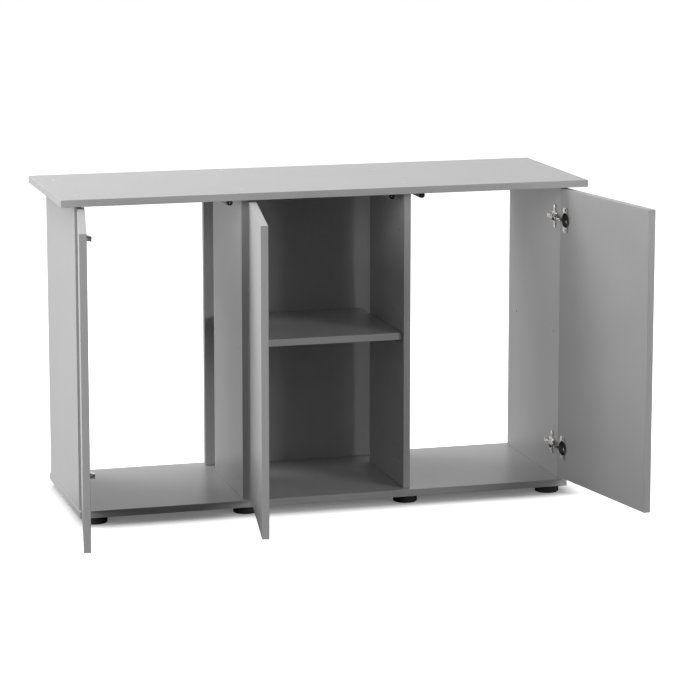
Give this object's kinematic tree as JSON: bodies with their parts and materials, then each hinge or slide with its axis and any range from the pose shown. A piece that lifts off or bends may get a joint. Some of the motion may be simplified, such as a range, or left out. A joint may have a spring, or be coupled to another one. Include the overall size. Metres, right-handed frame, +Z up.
{
  "type": "aquarium stand cabinet",
  "caption": "Long low aquarium cabinet on round feet, with three bays, a middle shelf, and doors on concealed hinges with push-to-open latches.",
  "frame": {"origin": "on the floor, under the middle of the whole object as it stands with its doors open", "axes": "+X to the cabinet's right as seen from the front, +Y to the back, +Z up"},
  "size_m": [1.261, 0.7639, 0.73],
  "materials": {
    "board": "satin grey melamine-faced board",
    "door_board": "satin grey melamine-faced board",
    "foot_plastic": "matte black",
    "black_plastic": "satin black",
    "latch_plastic": "satin grey",
    "nickel": "bright nickel plate"
  },
  "bodies": {
    "cabinet": {"top_panel": "board", "bottom_panel": "board", "left_side_panel": "board", "right_side_panel": "board", "left_divider": "board", "right_divider": "board", "back_panel": "board", "shelf": "board", "front_far_left_foot": "foot_plastic", "front_mid_left_foot": "foot_plastic", "front_mid_right_foot": "foot_plastic", "front_far_right_foot": "foot_plastic", "rear_far_left_foot": "foot_plastic", "rear_mid_left_foot": "foot_plastic", "rear_mid_right_foot": "foot_plastic", "rear_far_right_foot": "foot_plastic", "front_left_shelf_pin": "black_plastic", "front_right_shelf_pin": "black_plastic", "rear_left_shelf_pin": "black_plastic", "rear_right_shelf_pin": "black_plastic", "left_latch_housing": "latch_plastic", "center_latch_housing": "latch_plastic", "right_latch_housing": "latch_plastic", "left_upper_hinge_plate": "nickel", "left_upper_hinge_arm": "nickel", "left_lower_hinge_plate": "nickel", "left_lower_hinge_arm": "nickel", "center_upper_hinge_plate": "nickel", "center_upper_hinge_arm": "nickel", "center_lower_hinge_plate": "nickel", "center_lower_hinge_arm": "nickel", "right_upper_hinge_plate": "nickel", "right_upper_hinge_arm": "nickel", "right_lower_hinge_plate": "nickel", "right_lower_hinge_arm": "nickel"},
    "left_door": {"left_door": "door_board", "left_upper_hinge_cup": "nickel", "left_lower_hinge_cup": "nickel"},
    "left_outer_links": {"left_upper_outer_link": "nickel", "left_lower_outer_link": "nickel"},
    "left_inner_links": {"left_upper_inner_link": "nickel", "left_lower_inner_link": "nickel"},
    "center_door": {"center_door": "door_board", "center_upper_hinge_cup": "nickel", "center_lower_hinge_cup": "nickel"},
    "center_outer_links": {"center_upper_outer_link": "nickel", "center_lower_outer_link": "nickel"},
    "center_inner_links": {"center_upper_inner_link": "nickel", "center_lower_inner_link": "nickel"},
    "right_door": {"right_door": "door_board", "right_upper_hinge_cup": "nickel", "right_lower_hinge_cup": "nickel"},
    "right_outer_links": {"right_upper_outer_link": "nickel", "right_lower_outer_link": "nickel"},
    "right_inner_links": {"right_upper_inner_link": "nickel", "right_lower_inner_link": "nickel"},
    "left_latch_plunger": {"left_latch_plunger": "black_plastic"},
    "center_latch_plunger": {"center_latch_plunger": "black_plastic"},
    "right_latch_plunger": {"right_latch_plunger": "black_plastic"}
  },
  "joints": [
    {"name": "left_door_hinge", "type": "hinge", "parent": "cabinet", "child": "left_door", "pos_m": [-0.563, -0.01215, 0.374], "axis": [0, 0, -1], "range_deg": [-100, 10]},
    {"name": "left_outer_link_pivot", "type": "hinge", "parent": "cabinet", "child": "left_outer_links", "pos_m": [-0.5355, -0.00628, 0.374], "axis": [0, 0, -1], "range_deg": [-3.8, 33.5]},
    {"name": "left_inner_link_pivot", "type": "hinge", "parent": "cabinet", "child": "left_inner_links", "pos_m": [-0.54, -0.00148, 0.374], "axis": [0, 0, -1], "range_deg": [-4.4, 39.5]},
    {"name": "center_door_hinge", "type": "hinge", "parent": "cabinet", "child": "center_door", "pos_m": [-0.18025, -0.01215, 0.374], "axis": [0, 0, -1], "range_deg": [-100, 10]},
    {"name": "center_outer_link_pivot", "type": "hinge", "parent": "cabinet", "child": "center_outer_links", "pos_m": [-0.15275, -0.00628, 0.374], "axis": [0, 0, -1], "range_deg": [-3.8, 33.5]},
    {"name": "center_inner_link_pivot", "type": "hinge", "parent": "cabinet", "child": "center_inner_links", "pos_m": [-0.15725, -0.00148, 0.374], "axis": [0, 0, -1], "range_deg": [-4.4, 39.5]},
    {"name": "right_door_hinge", "type": "hinge", "parent": "cabinet", "child": "right_door", "pos_m": [0.563, -0.01215, 0.374], "axis": [0, 0, 1], "range_deg": [-100, 10]},
    {"name": "right_outer_link_pivot", "type": "hinge", "parent": "cabinet", "child": "right_outer_links", "pos_m": [0.5355, -0.00628, 0.374], "axis": [0, 0, 1], "range_deg": [-3.8, 33.5]},
    {"name": "right_inner_link_pivot", "type": "hinge", "parent": "cabinet", "child": "right_inner_links", "pos_m": [0.54, -0.00148, 0.374], "axis": [0, 0, 1], "range_deg": [-4.4, 39.5]},
    {"name": "left_latch_push", "type": "slide", "parent": "cabinet", "child": "left_latch_plunger", "axis": [0, 1, 0], "range_m": [0, 0.003], "stiffness_N_per_m": 300},
    {"name": "center_latch_push", "type": "slide", "parent": "cabinet", "child": "center_latch_plunger", "axis": [0, 1, 0], "range_m": [0, 0.003], "stiffness_N_per_m": 300},
    {"name": "right_latch_push", "type": "slide", "parent": "cabinet", "child": "right_latch_plunger", "axis": [0, 1, 0], "range_m": [0, 0.003], "stiffness_N_per_m": 300}
  ],
  "couplings": [
    {"joint": "left_outer_link_pivot", "follows": "left_door_hinge", "ratio": -0.33},
    {"joint": "left_inner_link_pivot", "follows": "left_door_hinge", "ratio": -0.39},
    {"joint": "center_outer_link_pivot", "follows": "center_door_hinge", "ratio": -0.33},
    {"joint": "center_inner_link_pivot", "follows": "center_door_hinge", "ratio": -0.39},
    {"joint": "right_outer_link_pivot", "follows": "right_door_hinge", "ratio": -0.33},
    {"joint": "right_inner_link_pivot", "follows": "right_door_hinge", "ratio": -0.39}
  ]
}
